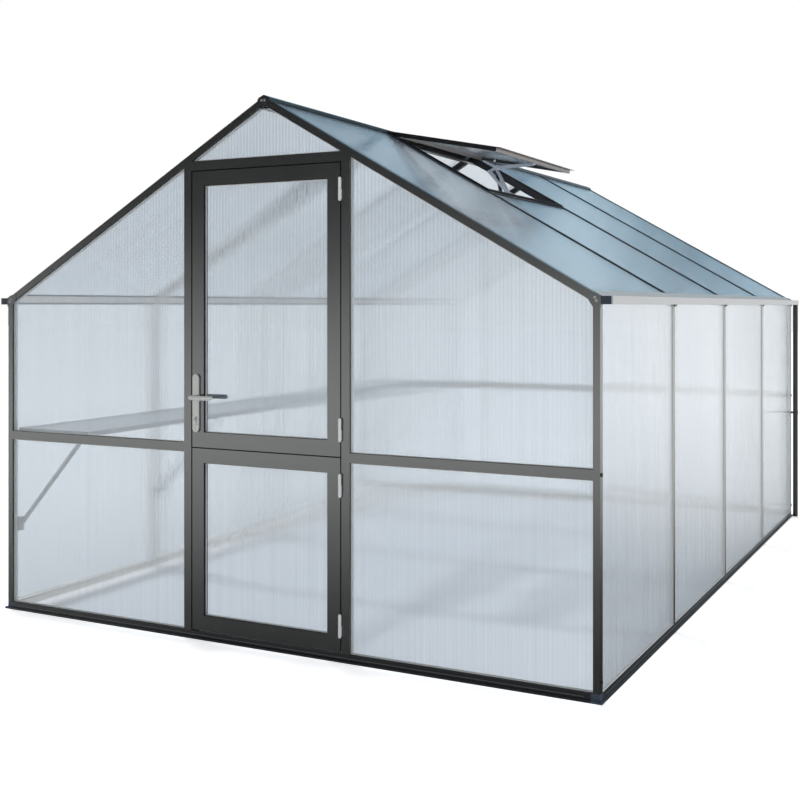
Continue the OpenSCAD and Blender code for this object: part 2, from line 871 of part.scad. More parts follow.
module downpipes() {
    color(black_colour) both_sides() translate([pipe_x, pipe_y, 0]) difference() {
        translate([0, 0, pipe_z0]) cylinder(h = gutter_z0 - pipe_z0, r = pipe_r);
        translate([0, 0, pipe_z0 - cut])
            cylinder(h = gutter_z0 - pipe_z0 + 2 * cut, r = pipe_r - pipe_t);
    }
}

// Clips under the gutters and brackets that hold the downpipes to the back posts
module rain_clips() {
    color(black_colour) both_sides() {
        for (k = [1:1:bays - 1])
            along_y(k * bay_l - bar_w / 2, k * bay_l + bar_w / 2)
                block(half_w, gutter_z0 - clip_h, half_w + clip_out, gutter_z0);
        difference() {
            union() {
                translate([pipe_x, pipe_y, pipe_clip_z])
                    cylinder(h = pipe_clip_h, r = pipe_r + collar_t);
                along_z(pipe_clip_z, pipe_clip_z + pipe_clip_h)
                    block(half_w, pipe_y, pipe_x, pipe_y + clip_h);
            }
            translate([pipe_x, pipe_y, pipe_clip_z - cut])
                cylinder(h = pipe_clip_h + 2 * cut, r = pipe_r);
        }
    }
}

// ---- shelf along the left wall
// Middle of arm k, with the end arms moved in beside the corner posts
function arm_mid(k) =
    k == 0 ? shelf_end + arm_w / 2 :
    k == bays ? length - shelf_end - arm_w / 2 :
    k * bay_l;

function at_end(k) = k == 0 || k == bays;

module on_left() {
    mirror([1, 0, 0]) children();
}

module shelf_trays() {
    color(alu_colour) on_left() for (k = [0:bays - 1]) {
        y0 = k == 0 ? shelf_end : k * bay_l + tray_gap / 2;
        y1 = k == bays - 1 ? length - shelf_end : (k + 1) * bay_l - tray_gap / 2;
        along_y(y0, y1) {
            block(shelf_front_x, shelf_z - tray_t, shelf_wall_x, shelf_z);
            block(shelf_front_x, shelf_z - tray_lip, shelf_front_x + tray_t, shelf_z);
        }
    }
}

module shelf_arms() {
    color(alu_colour) on_left() for (k = [0:bays])
        translate([0, arm_mid(k), 0]) along_y(-arm_w / 2, arm_w / 2)
            block(shelf_front_x + tray_t, arm_z0, shelf_wall_x, shelf_z - tray_t);
}

// Foot of an end strut, lapping the back of the front left corner post
module end_foot() {
    along_z(foot_z0, foot_z0 + foot_plate_h)
        block(shelf_wall_x - foot_plate_t, corner_d,
              post_inner_x + foot_reach, shelf_end + arm_w);
}

// Strut from a foot on the wall up to the underside of each arm
module shelf_struts() {
    x0 = shelf_wall_x - foot_plate_t;
    x1 = shelf_front_x + strut_end;
    run = x0 - x1;
    rise = arm_z0 - strut_z0;
    color(alu_colour) on_left() {
        both_ends() end_foot();
        for (k = [0:bays])
            translate([0, arm_mid(k), 0]) along_y(-strut_w / 2, strut_w / 2) {
                if (!at_end(k)) block(x0, foot_z0, shelf_wall_x, foot_z0 + foot_plate_h);
                polygon([
                    [x0, strut_z0], [x0, strut_z0 + strut_t],
                    [x1 + strut_t * run / rise, arm_z0], [x1, arm_z0]
                ]);
            }
    }
}

// ---- door leaves
module leaf_frame(z0, z1) {
    x0 = leaf_x0 + stile_w;
    x1 = leaf_x1 - stile_w;
    pane_z0 = z0 + bottom_rail_h;
    pane_z1 = z1 - top_rail_h;
    slot_y = pane_recess - sheet_gap;
    difference() {
        along_y(0, leaf_t) block(leaf_x0, z0, leaf_x1, z1);
        along_y(-cut, leaf_t + cut) block(x0, pane_z0, x1, pane_z1);
        along_y(slot_y, slot_y + slot_t)
            block(x0 - groove_d, pane_z0 - groove_d, x1 + groove_d, pane_z1 + groove_d);
        along_y(wall_t, leaf_t - wall_t) difference() {
            block(leaf_x0 + wall_t, z0 + wall_t,
                  leaf_x1 - hinge_plate_t - wall_t, z1 - wall_t);
            block(x0 - groove_d - wall_t, pane_z0 - groove_d - wall_t,
                  x1 + groove_d + wall_t, pane_z1 + groove_d + wall_t);
        }
    }
}

module leaf_pane(z0, z1) {
    color(sheet_colour) along_y(pane_recess, pane_recess + sheet_t)
        block(leaf_x0 + stile_w - sheet_bite, z0 + bottom_rail_h - groove_d,
              leaf_x1 - stile_w + sheet_bite, z1 - top_rail_h + sheet_bite);
}

module upper_leaf_frame() {
    color(frame_colour) difference() {
        leaf_frame(upper_z0, upper_z1);
        along_y(-cut, leaf_t + cut) key_outline();
        spindle_hole(-cut, leaf_t + cut);
        leaf_pockets(UPPER_HINGES);
    }
}

module upper_leaf_pane() {
    leaf_pane(upper_z0, upper_z1);
}

module lower_leaf_frame() {
    color(frame_colour) difference() {
        leaf_frame(lower_z0, lower_z1);
        leaf_pockets(LOWER_HINGES);
    }
}

module lower_leaf_pane() {
    leaf_pane(lower_z0, lower_z1);
}

// ---- hinges
// Barrel with a rounded end at z0, open end at z1; pointing up or down
module hinge_barrel(h) {
    translate([0, 0, hinge_r]) cylinder(h = h - hinge_r, r = hinge_r);
    intersection() {
        translate([0, 0, hinge_r]) sphere(hinge_r);
        cylinder(h = hinge_r, r = hinge_r);
    }
}

// Plate of half a hinge, from the pin line into the right side of the door gap
module hinge_plate(h) {
    translate([door_gap / 2, 0, 0]) cube([hinge_plate_t, hinge_reach - hinge_y, h]);
}

// Pocket for such a plate
module hinge_pocket() {
    h = hinge_half - hinge_split;
    translate([0, -hinge_y - cut, hinge_r - hinge_room])
        cube([door_gap / 2 + hinge_plate_t, hinge_reach + cut + hinge_room,
              h - hinge_r + 2 * hinge_room]);
}

module post_pockets() {
    for (z = concat(LOWER_HINGES, UPPER_HINGES))
        translate([hinge_x, hinge_y, z]) hinge_pocket();
}

module leaf_pockets(places) {
    for (z = places)
        translate([hinge_x, hinge_y, z + hinge_l]) mirror([0, 0, 1]) mirror([1, 0, 0])
            hinge_pocket();
}

module hinge_pins() {
    h = hinge_half - hinge_split;
    color(hinge_colour) for (z = concat(LOWER_HINGES, UPPER_HINGES))
        translate([hinge_x, hinge_y, z]) {
            hinge_barrel(h);
            translate([0, 0, hinge_r]) hinge_plate(h - hinge_r);
            cylinder(h = hinge_l - hinge_end, r = pin_r);
        }
}

// Half of a hinge on a leaf, with the bore that turns on the pin
module leaf_barrel(z) {
    h = hinge_half - hinge_split;
    translate([hinge_x, hinge_y, z + hinge_l]) mirror([0, 0, 1]) difference() {
        union() {
            hinge_barrel(h);
            translate([0, 0, hinge_r]) mirror([1, 0, 0]) hinge_plate(h - hinge_r);
        }
        translate([0, 0, hinge_end - 1])
            cylinder(h = hinge_half, r = pin_r + pin_play);
    }
}

module upper_hinge_barrels() {
    color(hinge_colour) for (z = UPPER_HINGES) leaf_barrel(z);
}

module lower_hinge_barrels() {
    color(hinge_colour) for (z = LOWER_HINGES) leaf_barrel(z);
}

// ---- handle and lock
module key_outline() {
    translate([handle_x, key_z]) circle(key_r);
    block(handle_x - key_w / 2, key_z - key_drop, handle_x + key_w / 2, key_z);
}

module spindle_hole(y0, y1) {
    along_y(y0, y1) translate([handle_x, lever_z]) circle(spindle_room);
}

module handle_plate() {
    r = plate_w / 2;
    difference() {
        round_plate(r);
        key_outline();
        translate([handle_x, lever_z]) circle(neck_r + neck_play);
    }
}

// Plate with round ends
module round_plate(r) {
    translate([handle_x, plate_z0 + r]) circle(r);
    translate([handle_x, plate_z0 + plate_h - r]) circle(r);
    block(handle_x - r, plate_z0 + r, handle_x + r, plate_z0 + plate_h - r);
}

module handle_plates() {
    color(alu_colour) {
        along_y(-plate_t, 0) handle_plate();
        along_y(leaf_t, leaf_t + plate_t) handle_plate();
    }
}

module lock_cylinder() {
    color(alu_colour) along_y(-key_out, leaf_t + key_out) key_outline();
}

// Lever whose neck starts at the face of the leaf and reaches out along -Y
module lever() {
    translate([handle_x, -neck_gap, lever_z])
        rotate([90, 0, 0]) cylinder(h = grip_y - neck_gap, r = neck_r);
    translate([handle_x, -grip_y, lever_z]) {
        rotate([0, 90, 0]) cylinder(h = grip_l, r = grip_r);
        sphere(grip_r);
        translate([grip_l, 0, 0]) sphere(grip_r);
    }
}

module spindle() {
    translate([handle_x - spindle_w / 2, -neck_gap, lever_z - spindle_w / 2])
        cube([spindle_w, leaf_t + neck_gap + spindle_bite, spindle_w]);
}

module lever_outside() {
    color(alu_colour) {
        lever();
        spindle();
    }
}

module lever_inside() {
    color(black_colour) difference() {
        translate([0, leaf_t, 0]) mirror([0, 1, 0]) lever();
        spindle();
    }
}

base_front();
base_back();
base_left();
base_right();
base_corners();
corner_posts();
side_bars();
eave_beams();
front_rafters();
back_rafters();
ridge_beam();
roof_bars();
door_posts();
door_lintel();
front_rails();
back_posts();
back_rails();
gusset_plates();
front_sheets();
back_sheets();
wall_sheets();
roof_sheets();
vent_sill();
vent_sash();
vent_pane();
vent_opener();
vent_cylinder();
gutters();
gutter_caps();
rain_clips();
downpipes();
shelf_trays();
shelf_arms();
shelf_struts();
upper_leaf_frame();
upper_leaf_pane();
lower_leaf_frame();
lower_leaf_pane();
hinge_pins();
upper_hinge_barrels();
lower_hinge_barrels();
handle_plates();
lock_cylinder();
lever_outside();
lever_inside();
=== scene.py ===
import bpy
import bmesh
import json
import math
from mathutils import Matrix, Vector


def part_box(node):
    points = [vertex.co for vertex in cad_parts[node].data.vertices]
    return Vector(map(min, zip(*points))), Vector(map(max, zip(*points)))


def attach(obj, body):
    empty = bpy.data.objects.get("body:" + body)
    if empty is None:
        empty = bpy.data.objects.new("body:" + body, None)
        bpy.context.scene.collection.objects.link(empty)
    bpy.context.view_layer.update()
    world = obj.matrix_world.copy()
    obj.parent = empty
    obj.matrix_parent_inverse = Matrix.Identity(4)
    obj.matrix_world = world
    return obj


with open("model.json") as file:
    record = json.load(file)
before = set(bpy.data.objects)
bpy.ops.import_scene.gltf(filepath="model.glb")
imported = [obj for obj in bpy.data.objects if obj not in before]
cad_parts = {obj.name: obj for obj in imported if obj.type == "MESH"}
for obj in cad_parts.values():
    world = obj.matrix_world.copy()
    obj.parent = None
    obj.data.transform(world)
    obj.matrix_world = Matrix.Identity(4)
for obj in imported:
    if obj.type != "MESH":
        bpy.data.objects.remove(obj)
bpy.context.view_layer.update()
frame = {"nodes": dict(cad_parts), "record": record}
nodes = frame["nodes"]

MM = 0.001
LOW, HIGH = 0, 1          # ends of a box
X, Y, Z = 0, 1, 2         # axes


def edge(node, end, axis):
    """Place of a CAD node's lowest or highest side along an axis, to a tenth of a millimetre."""
    return round(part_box(node)[end][axis], 4)


def middle(node, axis):
    return (edge(node, LOW, axis) + edge(node, HIGH, axis)) / 2


# ------------------------------------------------------------ sizes of the house, in metres
BAYS = 4
VENT_BAY = 1                                     # second bay from the front
PITCH = math.radians(30)
WIDE = edge("corner_posts", HIGH, X)             # half width over the corner posts
LONG = edge("corner_posts", HIGH, Y)
BAY = LONG / BAYS
RIDGE_CAP = 7 * MM                               # how far the ridge beam stands over the roof
EAVE = round(edge("ridge_beam", HIGH, Z) - RIDGE_CAP - WIDE * math.tan(PITCH), 4)
RIDGE = EAVE + WIDE * math.tan(PITCH)
BASE = edge("corner_posts", LOW, Z)              # ledge of the base, on which the posts stand
RAIL0 = edge("front_rails", LOW, Z)
RAIL1 = edge("front_rails", HIGH, Z)
LINTEL = edge("door_lintel", HIGH, Z)
WALL_TOP = edge("side_bars", HIGH, Z)
POST = edge("door_posts", HIGH, X)               # outer side of the posts beside the door
CORNER = edge("front_rails", HIGH, X)            # inner side of the corner posts
DOOR = edge("door_lintel", HIGH, X)              # half width of the door's opening
RAFTER_DEEP = 30 * MM                            # from the roof surface to the rafters' underside
RAFTER_WIDE = edge("front_rafters", HIGH, Y)
CORNER_DEEP = 30 * MM                            # corner post, along the side wall
BAR_HALF = BAY - edge("side_bars", LOW, Y)       # half width of a glazing bar
SHEET = edge("front_sheets", HIGH, Y) - edge("front_sheets", LOW, Y)      # thickness
# depths from which a profile counts as inside the house
BEHIND = 0.5 * MM                                # off the back of a sheet
GABLE_BACK = edge("front_sheets", HIGH, Y) + BEHIND
WALL_BACK = WIDE - edge("wall_sheets", HIGH, X) + SHEET + BEHIND
ROOF_BACK = 9.5 * MM
# the part round the door's opening that stays dark: into the posts, into the house, and up
DOOR_SKIN = 4.5 * MM
DOOR_BACK = edge("door_posts", HIGH, Y) + 12 * MM
DOOR_TOP = edge("door_lintel", LOW, Z) + 16 * MM


# ------------------------------------------------------------ node helpers
class Tree:
    """Short way to write a node tree."""

    def __init__(self, tree):
        self.tree = tree
        tree.nodes.clear()

    def node(self, kind, inputs=None, **props):
        made = self.tree.nodes.new(kind)
        for name, value in props.items():
            setattr(made, name, value)
        for name, value in (inputs or {}).items():
            self.put(made.inputs[name], value)
        return made

    def put(self, socket, value):
        if isinstance(value, bpy.types.NodeSocket):
            self.tree.links.new(value, socket)
        elif isinstance(value, bpy.types.Node):
            self.tree.links.new(value.outputs[0], socket)
        else:
            socket.default_value = value

    def math(self, operation, a, b=0.0, c=0.0, clamp=False):
        made = self.node("ShaderNodeMath", {0: a, 1: b, 2: c}, operation=operation, use_clamp=clamp)
        return made.outputs[0]

    def span(self, value, start, end, low=0.0, high=1.0):
        """low before start, high after end, and an even slope between."""
        return self.node("ShaderNodeMapRange", {"Value": value, "From Min": start, "From Max": end,
                                                "To Min": low, "To Max": high}).outputs[0]

    def split(self, vector):
        return self.node("ShaderNodeSeparateXYZ", {"Vector": vector}).outputs

    def ramp(self, value, stops):
        made = self.node("ShaderNodeValToRGB", {"Fac": value})
        elements = made.color_ramp.elements
        while len(elements) < len(stops):
            elements.new(1.0)
        for element, (place, colour) in zip(elements, stops):
            element.position = place
            element.color = (*colour, 1) if isinstance(colour, tuple) else (colour, colour, colour, 1)
        return made.outputs[0]

    def mix(self, share, a, b):
        made = self.node("ShaderNodeMix", data_type="RGBA")
        self.put(made.inputs[0], share)
        self.put(made.inputs[6], a)
        self.put(made.inputs[7], b)
        return made.outputs[2]

    def noise(self, vector, scale, detail, rough=0.55):
        return self.node("ShaderNodeTexNoise", {"Vector": vector, "Scale": scale, "Detail": detail,
                                                "Roughness": rough}).outputs[0]

    def output(self, shader, kind="ShaderNodeOutputMaterial"):
        self.put(self.node(kind).inputs[0], shader)


def rgb(*screen):
    """Linear colour from 0-255 screen values."""
    def linear(value):
        if value <= 10.31:
            return value / 255 / 12.92
        return ((value / 255 + 0.055) / 1.055) ** 2.4
    return (*(linear(value) for value in screen), 1.0)


def scaled(colour, factor):
    return tuple(min(1, channel * factor) for channel in colour[:3]) + (1,)


def new_material(name):
    material = bpy.data.materials.new(name)
    material.use_nodes = True
    return material, Tree(material.node_tree)


# ------------------------------------------------------------ materials
def inner_side(tree, place):
    """1 on the part of a profile that lies behind the sheets, 0 on the part in front of them."""
    def both(a, b):
        return tree.math("MULTIPLY", a, b)
    parts = tree.split(place)
    x = tree.math("ABSOLUTE", parts[X])
    y, z = parts[Y], parts[Z]
    under = tree.math("SUBTRACT", tree.math("MULTIPLY_ADD", x, -math.tan(PITCH), RIDGE), z)
    inside = tree.math("LESS_THAN", x, WIDE - WALL_BACK)
    inside = both(inside, tree.math("GREATER_THAN", y, GABLE_BACK))
    inside = both(inside, tree.math("LESS_THAN", y, LONG - GABLE_BACK))
    inside = both(inside, tree.math("GREATER_THAN", under, ROOF_BACK / math.cos(PITCH)))
    door = both(tree.math("LESS_THAN", x, DOOR + DOOR_SKIN), tree.math("LESS_THAN", y, DOOR_BACK))
    door = both(door, tree.math("LESS_THAN", z, DOOR_TOP))
    return both(inside, tree.math("SUBTRACT", 1.0, door))


CLOUDS = (3.0, 3.0)           # scale and detail of the slow variation of a coat
GRAIN = (900.0, 2.0)          # the same of its fine grain
VARY = 0.06                   # share by which its tone varies
GLOSS_VARY = 0.05
INNER_GLOSS = 0.45            # roughness of the inner colour
# painted reflection: a coat can be painted lighter toward the left end of the house
LEFT_REFLECTION_FADE = (-0.2, -1.5)      # where a coat starts to near its left colour, and where it has it
INNER_FADE = (-0.15, 0.25)    # the same for the inner colour, about its distance from the middle
SIDEWAYS = 0.7                # a face looks to the side if its normal has more than this along X


def painted(name, colour, metallic=0.0, rough=0.35, spec=0.5,
            inner=None, beyond=0.0, above=0.0, ends=None, left=None):
    """Powder-coated or moulded surface: fine grain, slight tone and gloss variation.
    inner: colour of the side that faces into the house. beyond: distance from the middle at which
    it takes over, if it isn't there all along. above: height over which everything has it.
    ends: colour painted on the faces that look to the sides of the house, a painted reflection.
    left: colour that the coat nears toward the left end of the front, a painted reflection."""
    material, tree = new_material(name)
    place = tree.node("ShaderNodeTexCoord").outputs["Object"]
    clouds = tree.noise(place, *CLOUDS)
    grain = tree.noise(place, *GRAIN)
    coat = tree.mix(clouds, scaled(colour, 1 - VARY), scaled(colour, 1 + VARY))
    # painted reflection: the coat nears its lighter left colour toward the left end
    if left:
        coat = tree.mix(tree.span(tree.split(place)[X], *LEFT_REFLECTION_FADE), coat, left)
    gloss = tree.span(clouds, 0.0, 1.0, rough - GLOSS_VARY, rough + GLOSS_VARY)
    if inner:
        side = inner_side(tree, place)
        if beyond:
            x = tree.math("ABSOLUTE", tree.split(place)[X])
            start, end = (beyond + step for step in INNER_FADE)
            side = tree.math("MULTIPLY", side, tree.span(x, start, end))
        if above:
            side = tree.math("MAXIMUM", side, tree.math("GREATER_THAN", tree.split(place)[Z], above))
        coat = tree.mix(side, coat, tree.mix(clouds, scaled(inner, 1 - VARY), inner))
        gloss = tree.span(side, 0.0, 1.0, gloss, INNER_GLOSS)
        metallic = tree.span(side, 0.0, 1.0, metallic, 0.0)
    # faces that look to the sides take the ends colour: a painted reflection
    if ends:
        turn = tree.split(tree.node("ShaderNodeNewGeometry").outputs["Normal"])[X]
        coat = tree.mix(tree.math("GREATER_THAN", tree.math("ABSOLUTE", turn), SIDEWAYS), coat, ends)
    bump = tree.node("ShaderNodeBump", {"Height": grain, "Strength": 0.02, "Distance": 1 * MM})
    tree.output(tree.node("ShaderNodeBsdfPrincipled", {
        "Base Color": coat, "Roughness": gloss, "Metallic": metallic, "Normal": bump,
        "Specular IOR Level": spec}))
    return material


FLUTE = 16 * MM               # from web to web of a sheet
RIPPLE = 2.9 * MM             # fine waves of its faces
WEB_FADE = (1.0, 1.9)         # heights between which its webs come to show fully
WEB_LOW = 0.22                # how far they show below


def sheet_material(name, across, tint, milk, lamps, solid=0.09, webs=0.9, ior=1.45, waves=0.42):
    """Twin-wall sheet: tinted clear plastic whose flutes spread what is behind it sideways.
    across: the axis over the flutes. milk: colour of its body, of which solid is the share.
    lamps: tint of the light that passes it. webs: how far they show. waves: height of the ripple."""
    material, tree = new_material(name)
    place = tree.node("ShaderNodeTexCoord").outputs["Object"]
    parts = tree.split(place)
    over = parts[across]
    stretch = tuple(40 if axis == across else 0.5 for axis in (X, Y, Z))
    drawn = tree.node("ShaderNodeMapping", {"Vector": place, "Scale": stretch})
    streak = tree.noise(drawn, 1.0, 3.0)

    ribs = tree.math("SINE", tree.math("MULTIPLY", over, 2 * math.pi / FLUTE))
    fine = tree.math("MULTIPLY_ADD", over, 2 * math.pi / RIPPLE, tree.math("MULTIPLY", streak, 9.0))
    height = tree.math("MULTIPLY_ADD", tree.math("SINE", fine), waves,
                       tree.math("MULTIPLY", ribs, 0.3 * waves))
    bump = tree.node("ShaderNodeBump", {"Height": height, "Strength": 1.0, "Distance": 0.1 * MM})

    # lines of the webs
    wobble = tree.math("MULTIPLY", streak, 0.7)
    line = tree.math("SINE", tree.math("MULTIPLY_ADD", over, math.pi / FLUTE, wobble))
    line = tree.math("POWER", tree.math("ABSOLUTE", line), 5.0)
    line = tree.math("MULTIPLY", line, tree.span(parts[Z], *WEB_FADE, WEB_LOW, 1.0))

    share = tree.math("MULTIPLY_ADD", streak, 0.09, solid - 0.045)
    share = tree.math("MULTIPLY_ADD", line, 0.06 * webs, share, clamp=True)
    body = tree.node("ShaderNodeBsdfPrincipled", {
        "Base Color": tree.mix(line, milk, scaled(milk, 1 - 0.5 * webs)), "Roughness": 0.3, "Normal": bump})
    glass = tree.node("ShaderNodeBsdfGlass", {
        "Color": tree.mix(line, tint, scaled(tint, 1 - 0.012 * webs)), "Roughness": 0.04, "IOR": ior,
        "Normal": bump})
    seen = tree.node("ShaderNodeMixShader", {0: share, 1: glass, 2: body})

    lit = tree.node("ShaderNodeBsdfTransparent", {"Color": (*lamps, 1)})
    ray = tree.node("ShaderNodeLightPath").outputs
    shader = tree.node("ShaderNodeMixShader", {0: ray["Is Shadow Ray"], 1: seen, 2: lit})
    tree.output(tree.node("ShaderNodeMixShader", {0: ray["Is Diffuse Ray"], 1: shader, 2: lit}))
    return material


FRAME_GREY = (0.125, 0.128, 0.128, 1)
FRAME_LOOK = {"metallic": 0.85, "rough": 0.17}
BLACK = (0.022, 0.023, 0.025, 1)
BLACK_LOOK = {"metallic": 0.3, "rough": 0.30}
PALE = rgb(238, 235, 229)
ALUMINIUM = rgb(184, 185, 185)
ALUMINIUM_LOOK = {"metallic": 0.25, "rough": 0.4}
WALL_LAMPS = (0.93, 0.935, 0.94)
ROOF_SHEET = {"lamps": (0.735, 0.768, 0.805), "webs": 0.4, "ior": 1.35, "waves": 0.10}

MATERIALS = {
    "frame_paint": painted("frame_coat", FRAME_GREY, **FRAME_LOOK),
    "frame_lined": painted("frame_coat_lined", FRAME_GREY, inner=PALE, **FRAME_LOOK),
    # the base is painted lighter toward its left end: a painted reflection
    "black_lined": painted("black_coat_lined", BLACK, inner=PALE, above=BASE + 0.1 * MM,
                           left=(0.066, 0.067, 0.066, 1), **BLACK_LOOK),
    "bar_lined": painted("black_coat_bars", (0.014, 0.015, 0.017, 1), rough=0.45, spec=0.25,
                         inner=PALE, beyond=0.5),
    "sill_coat": painted("sill_coat", (0.012, 0.013, 0.015, 1), rough=0.45, spec=0.3),
    # the connectors at the foot are painted lighter than the same plastic higher up: painted light for the
    # less light low faces get
    "corner_cap_painted_light": painted("corner_cap_painted_light", rgb(60, 72, 87), rough=0.45),
    # the sash's sideways faces are painted a light taupe over the black coat: a painted reflection
    "sash_coat_painted_reflection": painted("sash_coat_painted_reflection", BLACK, ends=rgb(120, 113, 110), **BLACK_LOOK),
    "opener_metal": painted("opener_metal", rgb(188, 196, 208), metallic=0.2, rough=0.4),
    # lighter than the black base it runs along: a painted highlight line at the foot
    "bead_highlight_metal": painted("bead_highlight_metal", rgb(112, 118, 118), metallic=0.4, rough=0.35),
    "eave_lined": painted("eave_metal", ALUMINIUM, inner=PALE, **ALUMINIUM_LOOK),
    "black_paint": painted("black_coat", BLACK, **BLACK_LOOK),
    "connector_plastic": painted("connector", rgb(42, 54, 68), rough=0.45),
    "black_plastic": painted("pipe_plastic", (0.02, 0.02, 0.022, 1), rough=0.3),
    "bare_aluminium": painted("bare_metal", ALUMINIUM, **ALUMINIUM_LOOK),
    "hinge_paint": painted("hinge_coat", rgb(224, 222, 221), rough=0.35),
    "handle_metal": painted("handle_metal", rgb(180, 181, 180), metallic=0.6, rough=0.28),
    # lit and shaded copies of one lever: the outside lever is painted lighter than the inside one, which
    # keeps the darker handle metal
    "lever_metal": painted("lever_metal", rgb(214, 215, 211), metallic=0.2, rough=0.35),
    "rubber": painted("rubber", (0.008, 0.010, 0.014, 1), rough=0.6, spec=0.3),
    "pale_seal": painted("pale_seal", rgb(205, 206, 204), rough=0.45, spec=0.4),
    "white_lining": painted("white_lining", rgb(244, 243, 240), rough=0.5, spec=0.3),
    "bolt_metal": painted("bolt_metal", rgb(205, 205, 203), metallic=0.7, rough=0.3),
    "dark_bolt": painted("dark_bolt", (0.03, 0.031, 0.033, 1), metallic=0.5, rough=0.35),
    "gable": sheet_material("sheet_gable", X, (0.938, 0.956, 0.970, 1), rgb(205, 217, 229),
                            WALL_LAMPS, solid=0.085),
    "wall": sheet_material("sheet_wall", Y, (0.916, 0.934, 0.947, 1), rgb(203, 209, 216), WALL_LAMPS),
    # the vent and roof sheets get a far darker body than the wall and gable sheets: painted shade that
    # keeps them dark under the light from above
    "vent": sheet_material("sheet_vent_painted_shade", Y, (0.86, 0.895, 0.915, 1), rgb(80, 102, 118), solid=0.14,
                           **ROOF_SHEET),
    "roof": sheet_material("sheet_roof_painted_shade", Y, (0.948, 0.970, 0.988, 1), rgb(128, 148, 164), solid=0.12,
                           **ROOF_SHEET),
}

# CAD nodes whose material isn't simply their slot's
SHEETS = {"front_sheets": "gable", "back_sheets": "gable", "wall_sheets": "wall", "roof_sheets": "roof",
          "vent_pane": "vent", "upper_leaf_pane": "gable", "lower_leaf_pane": "gable"}
COATS = dict.fromkeys(("corner_posts", "side_bars", "front_rafters", "back_rafters", "door_posts",
                       "door_lintel", "front_rails", "back_posts", "back_rails"), "frame_lined")
COATS.update(dict.fromkeys(("base_front", "base_back", "base_left", "base_right"), "black_lined"))
COATS.update({"vent_sill": "sill_coat", "base_corners": "corner_cap_painted_light", "eave_beams": "eave_lined",
              "roof_bars": "bar_lined", "vent_sash": "sash_coat_painted_reflection", "vent_opener": "opener_metal",
              # outside lever in its lighter metal: painted light against the painted shade of the inside
              # lever
              "lever_outside": "lever_metal"})


def coat_nodes():
    looks = {row["node"]: row["material_slot"] for row in frame["record"]["subparts"]}
    looks.update(SHEETS)
    looks.update(COATS)
    for name, ob in nodes.items():
        ob.data.materials.clear()
        ob.data.materials.append(MATERIALS[looks[name]])


# ------------------------------------------------------------ mesh helpers
def roof_at(x, depth=0.0):
    """Height of a plane that lies depth under the roof surface."""
    return RIDGE - abs(x) * math.tan(PITCH) - depth / math.cos(PITCH)


def link(name, data):
    ob = bpy.data.objects.new(name, data)
    bpy.context.collection.objects.link(ob)
    return ob


def piece(name, bm, material, body="frame", smooth=0.0):
    """Finished object on its body; faces meeting at less than smooth degrees are shaded as one."""
    bmesh.ops.recalc_face_normals(bm, faces=bm.faces)
    mesh = bpy.data.meshes.new(name)
    bm.to_mesh(mesh)
    bm.free()
    ob = link(name, mesh)
    mesh.materials.append(MATERIALS[material])
    if smooth:
        mesh.polygons.foreach_set("use_smooth", [True] * len(mesh.polygons))
        mesh.set_sharp_from_angle(angle=math.radians(smooth))
    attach(ob, body)


def section(*points):
    """Section of a seal from millimetres: (distance in from the outline, depth), closed.
    A distance of 0.1 keeps it just clear of the profile that it lies against."""
    return [(away * MM, depth * MM) for away, depth in points]


def inset(points, away):
    """Corners of a closed outline, counterclockwise, moved inwards with mitred corners."""
    moved = []
    for i, here in enumerate(points):
        before, here, after = Vector(points[i - 1]), Vector(here), Vector(points[(i + 1) % len(points)])
        come, leave = (here - before).normalized(), (after - here).normalized()
        a, b = Vector((-come.y, come.x)), Vector((-leave.y, leave.x))
        moved.append(here + (a + b) * (away / (1 + a.dot(b))))
    return moved


def seal_loop(bm, points, profile, place):
    """Section swept round an outline. place turns a spot of the outline and a depth into a point."""
    rings = [[bm.verts.new(place(p.x, p.y, depth)) for p in inset(points, away)]
             for away, depth in profile]
    for j, ring in enumerate(rings):
        following = rings[(j + 1) % len(rings)]
        for i in range(len(ring)):
            k = (i + 1) % len(ring)
            bm.faces.new((ring[i], ring[k], following[k], following[i]))


def rectangle(x0, z0, x1, z1):
    return [(x0, z0), (x1, z0), (x1, z1), (x0, z1)]


def break_edges(bm, verts, width):
    edges = list({e for v in verts for e in v.link_edges})
    bmesh.ops.bevel(bm, geom=edges, offset=width, segments=1, affect="EDGES")


def strip(bm, low, high, width=0.4 * MM):
    """Straight strip between two corners, with its edges broken."""
    verts = bmesh.ops.create_cube(bm, size=1.0)["verts"]
    for v in verts:
        v.co = Vector((v.co[i] + 0.5) * (high[i] - low[i]) + low[i] for i in (X, Y, Z))
    break_edges(bm, verts, width)


def lathe(bm, profile, at, axis, size=1.0, steps=24, six=()):
    """Round part about an axis. profile: (radius, height) in millimetres, radii times size.
    Rows named in six are hexagonal."""
    turn = Vector((0, 0, 1)).rotation_difference(Vector(axis)).to_matrix()
    at = Vector(at)
    rows = []
    for j, (radius, height) in enumerate(profile):
        height *= MM
        if radius == 0:
            rows.append([bm.verts.new(at + turn @ Vector((0, 0, height)))])
            continue
        row = []
        for i in range(steps):
            a = 2 * math.pi * i / steps
            r = radius * MM * size
            if j in six:
                r *= math.cos(math.pi / 6) / math.cos((a % (math.pi / 3)) - math.pi / 6)
            row.append(bm.verts.new(at + turn @ Vector((r * math.cos(a), r * math.sin(a), height))))
        rows.append(row)
    for a, b in zip(rows, rows[1:]):
        for i in range(steps):
            k = (i + 1) % steps
            if len(b) == 1:
                bm.faces.new((a[i], a[k], b[0]))
            else:
                bm.faces.new((a[i], a[k], b[k], b[i]))
    for row in (rows[0][::-1], rows[-1]):
        if len(row) > 1:
            bm.faces.new(row)


